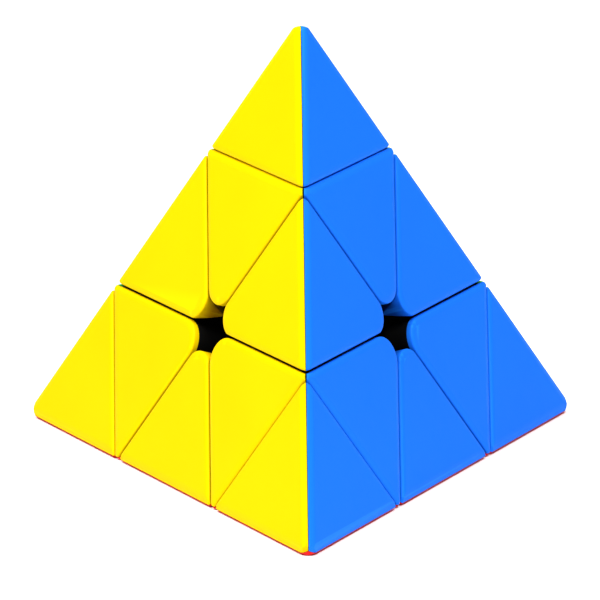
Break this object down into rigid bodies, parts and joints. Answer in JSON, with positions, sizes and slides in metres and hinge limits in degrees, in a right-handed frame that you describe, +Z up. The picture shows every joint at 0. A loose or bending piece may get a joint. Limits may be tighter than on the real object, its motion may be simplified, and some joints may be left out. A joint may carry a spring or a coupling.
{
  "type": "pyramid twisty puzzle",
  "caption": "Pyramid-shaped twisty puzzle with a different colour on each face; its corner layers turn on a sprung core and its tips turn on snapped-in stems.",
  "frame": {"origin": "turning centre, where the four turning axes meet; the centroid of the pyramid", "axes": "+Z up through the top corner, square to the face it stands on; the front corner is towards -Y; +X to the right seen from the front"},
  "size_m": [0.0988, 0.0859, 0.0806],
  "materials": {
    "red_plastic": "satin moulded",
    "green_plastic": "satin moulded",
    "yellow_plastic": "satin moulded",
    "blue_plastic": "satin moulded",
    "black_plastic": "fine matt",
    "screw_steel": "zinc plated",
    "spring_steel": "drawn wire"
  },
  "bodies": {
    "core": {"core": "black_plastic", "axis_screws": "screw_steel", "axis_springs": "spring_steel", "axis_washers": "screw_steel"},
    "axial_top": {"axial_frame_top": "black_plastic", "axial_tile_top_green": "green_plastic", "axial_tile_top_yellow": "yellow_plastic", "axial_tile_top_blue": "blue_plastic"},
    "tip_top": {"tip_base_top": "black_plastic", "tip_shell_top_green": "green_plastic", "tip_shell_top_yellow": "yellow_plastic", "tip_shell_top_blue": "blue_plastic"},
    "axial_front": {"axial_frame_front": "black_plastic", "axial_tile_front_red": "red_plastic", "axial_tile_front_yellow": "yellow_plastic", "axial_tile_front_blue": "blue_plastic"},
    "tip_front": {"tip_base_front": "black_plastic", "tip_shell_front_red": "red_plastic", "tip_shell_front_yellow": "yellow_plastic", "tip_shell_front_blue": "blue_plastic"},
    "axial_right": {"axial_frame_right": "black_plastic", "axial_tile_right_red": "red_plastic", "axial_tile_right_green": "green_plastic", "axial_tile_right_blue": "blue_plastic"},
    "tip_right": {"tip_base_right": "black_plastic", "tip_shell_right_red": "red_plastic", "tip_shell_right_green": "green_plastic", "tip_shell_right_blue": "blue_plastic"},
    "axial_left": {"axial_frame_left": "black_plastic", "axial_tile_left_red": "red_plastic", "axial_tile_left_green": "green_plastic", "axial_tile_left_yellow": "yellow_plastic"},
    "tip_left": {"tip_base_left": "black_plastic", "tip_shell_left_red": "red_plastic", "tip_shell_left_green": "green_plastic", "tip_shell_left_yellow": "yellow_plastic"},
    "edge_top_front": {"edge_foot_top_front": "black_plastic", "edge_shell_top_front_yellow": "yellow_plastic", "edge_shell_top_front_blue": "blue_plastic"},
    "edge_top_right": {"edge_foot_top_right": "black_plastic", "edge_shell_top_right_green": "green_plastic", "edge_shell_top_right_blue": "blue_plastic"},
    "edge_top_left": {"edge_foot_top_left": "black_plastic", "edge_shell_top_left_green": "green_plastic", "edge_shell_top_left_yellow": "yellow_plastic"},
    "edge_front_right": {"edge_foot_front_right": "black_plastic", "edge_shell_front_right_red": "red_plastic", "edge_shell_front_right_blue": "blue_plastic"},
    "edge_front_left": {"edge_foot_front_left": "black_plastic", "edge_shell_front_left_red": "red_plastic", "edge_shell_front_left_yellow": "yellow_plastic"},
    "edge_right_left": {"edge_foot_right_left": "black_plastic", "edge_shell_right_left_red": "red_plastic", "edge_shell_right_left_green": "green_plastic"}
  },
  "joints": [
    {"name": "top_layer_turn", "type": "hinge", "parent": "core", "child": "axial_top", "pos_m": [0, 0, 0], "axis": [0, 0, 1], "range_deg": [-240, 120]},
    {"name": "front_layer_turn", "type": "hinge", "parent": "core", "child": "axial_front", "pos_m": [0, 0, 0], "axis": [0, -0.9428, -0.3333], "range_deg": [-240, 120]},
    {"name": "right_layer_turn", "type": "hinge", "parent": "core", "child": "axial_right", "pos_m": [0, 0, 0], "axis": [0.8165, 0.4714, -0.3333], "range_deg": [-240, 120]},
    {"name": "left_layer_turn", "type": "hinge", "parent": "core", "child": "axial_left", "pos_m": [0, 0, 0], "axis": [-0.8165, 0.4714, -0.3333], "range_deg": [-240, 120]},
    {"name": "top_tip_turn", "type": "hinge", "parent": "axial_top", "child": "tip_top", "pos_m": [0, 0, 0], "axis": [0, 0, 1], "continuous": true},
    {"name": "front_tip_turn", "type": "hinge", "parent": "axial_front", "child": "tip_front", "pos_m": [0, 0, 0], "axis": [0, -0.9428, -0.3333], "continuous": true},
    {"name": "right_tip_turn", "type": "hinge", "parent": "axial_right", "child": "tip_right", "pos_m": [0, 0, 0], "axis": [0.8165, 0.4714, -0.3333], "continuous": true},
    {"name": "left_tip_turn", "type": "hinge", "parent": "axial_left", "child": "tip_left", "pos_m": [0, 0, 0], "axis": [-0.8165, 0.4714, -0.3333], "continuous": true},
    {"name": "top_front_edge_turn", "type": "hinge", "parent": "axial_front", "child": "edge_top_front", "pos_m": [0, 0, 0], "axis": [0, 0, 1], "range_deg": [-240, 120]},
    {"name": "top_right_edge_turn", "type": "hinge", "parent": "axial_top", "child": "edge_top_right", "pos_m": [0, 0, 0], "axis": [0.8165, 0.4714, -0.3333], "range_deg": [-240, 120]},
    {"name": "top_left_edge_turn", "type": "hinge", "parent": "axial_top", "child": "edge_top_left", "pos_m": [0, 0, 0], "axis": [-0.8165, 0.4714, -0.3333], "range_deg": [-240, 120]},
    {"name": "front_right_edge_turn", "type": "hinge", "parent": "axial_front", "child": "edge_front_right", "pos_m": [0, 0, 0], "axis": [0.8165, 0.4714, -0.3333], "range_deg": [-240, 120]},
    {"name": "front_left_edge_turn", "type": "hinge", "parent": "axial_left", "child": "edge_front_left", "pos_m": [0, 0, 0], "axis": [0, -0.9428, -0.3333], "range_deg": [-240, 120]},
    {"name": "right_left_edge_turn", "type": "hinge", "parent": "axial_left", "child": "edge_right_left", "pos_m": [0, 0, 0], "axis": [0.8165, 0.4714, -0.3333], "range_deg": [-240, 120]}
  ],
  "couplings": [
    {"joint": "top_front_edge_turn", "follows": "top_layer_turn", "ratio": 1},
    {"joint": "top_right_edge_turn", "follows": "right_layer_turn", "ratio": 1},
    {"joint": "top_left_edge_turn", "follows": "left_layer_turn", "ratio": 1},
    {"joint": "front_right_edge_turn", "follows": "right_layer_turn", "ratio": 1},
    {"joint": "front_left_edge_turn", "follows": "front_layer_turn", "ratio": 1},
    {"joint": "right_left_edge_turn", "follows": "right_layer_turn", "ratio": 1}
  ]
}
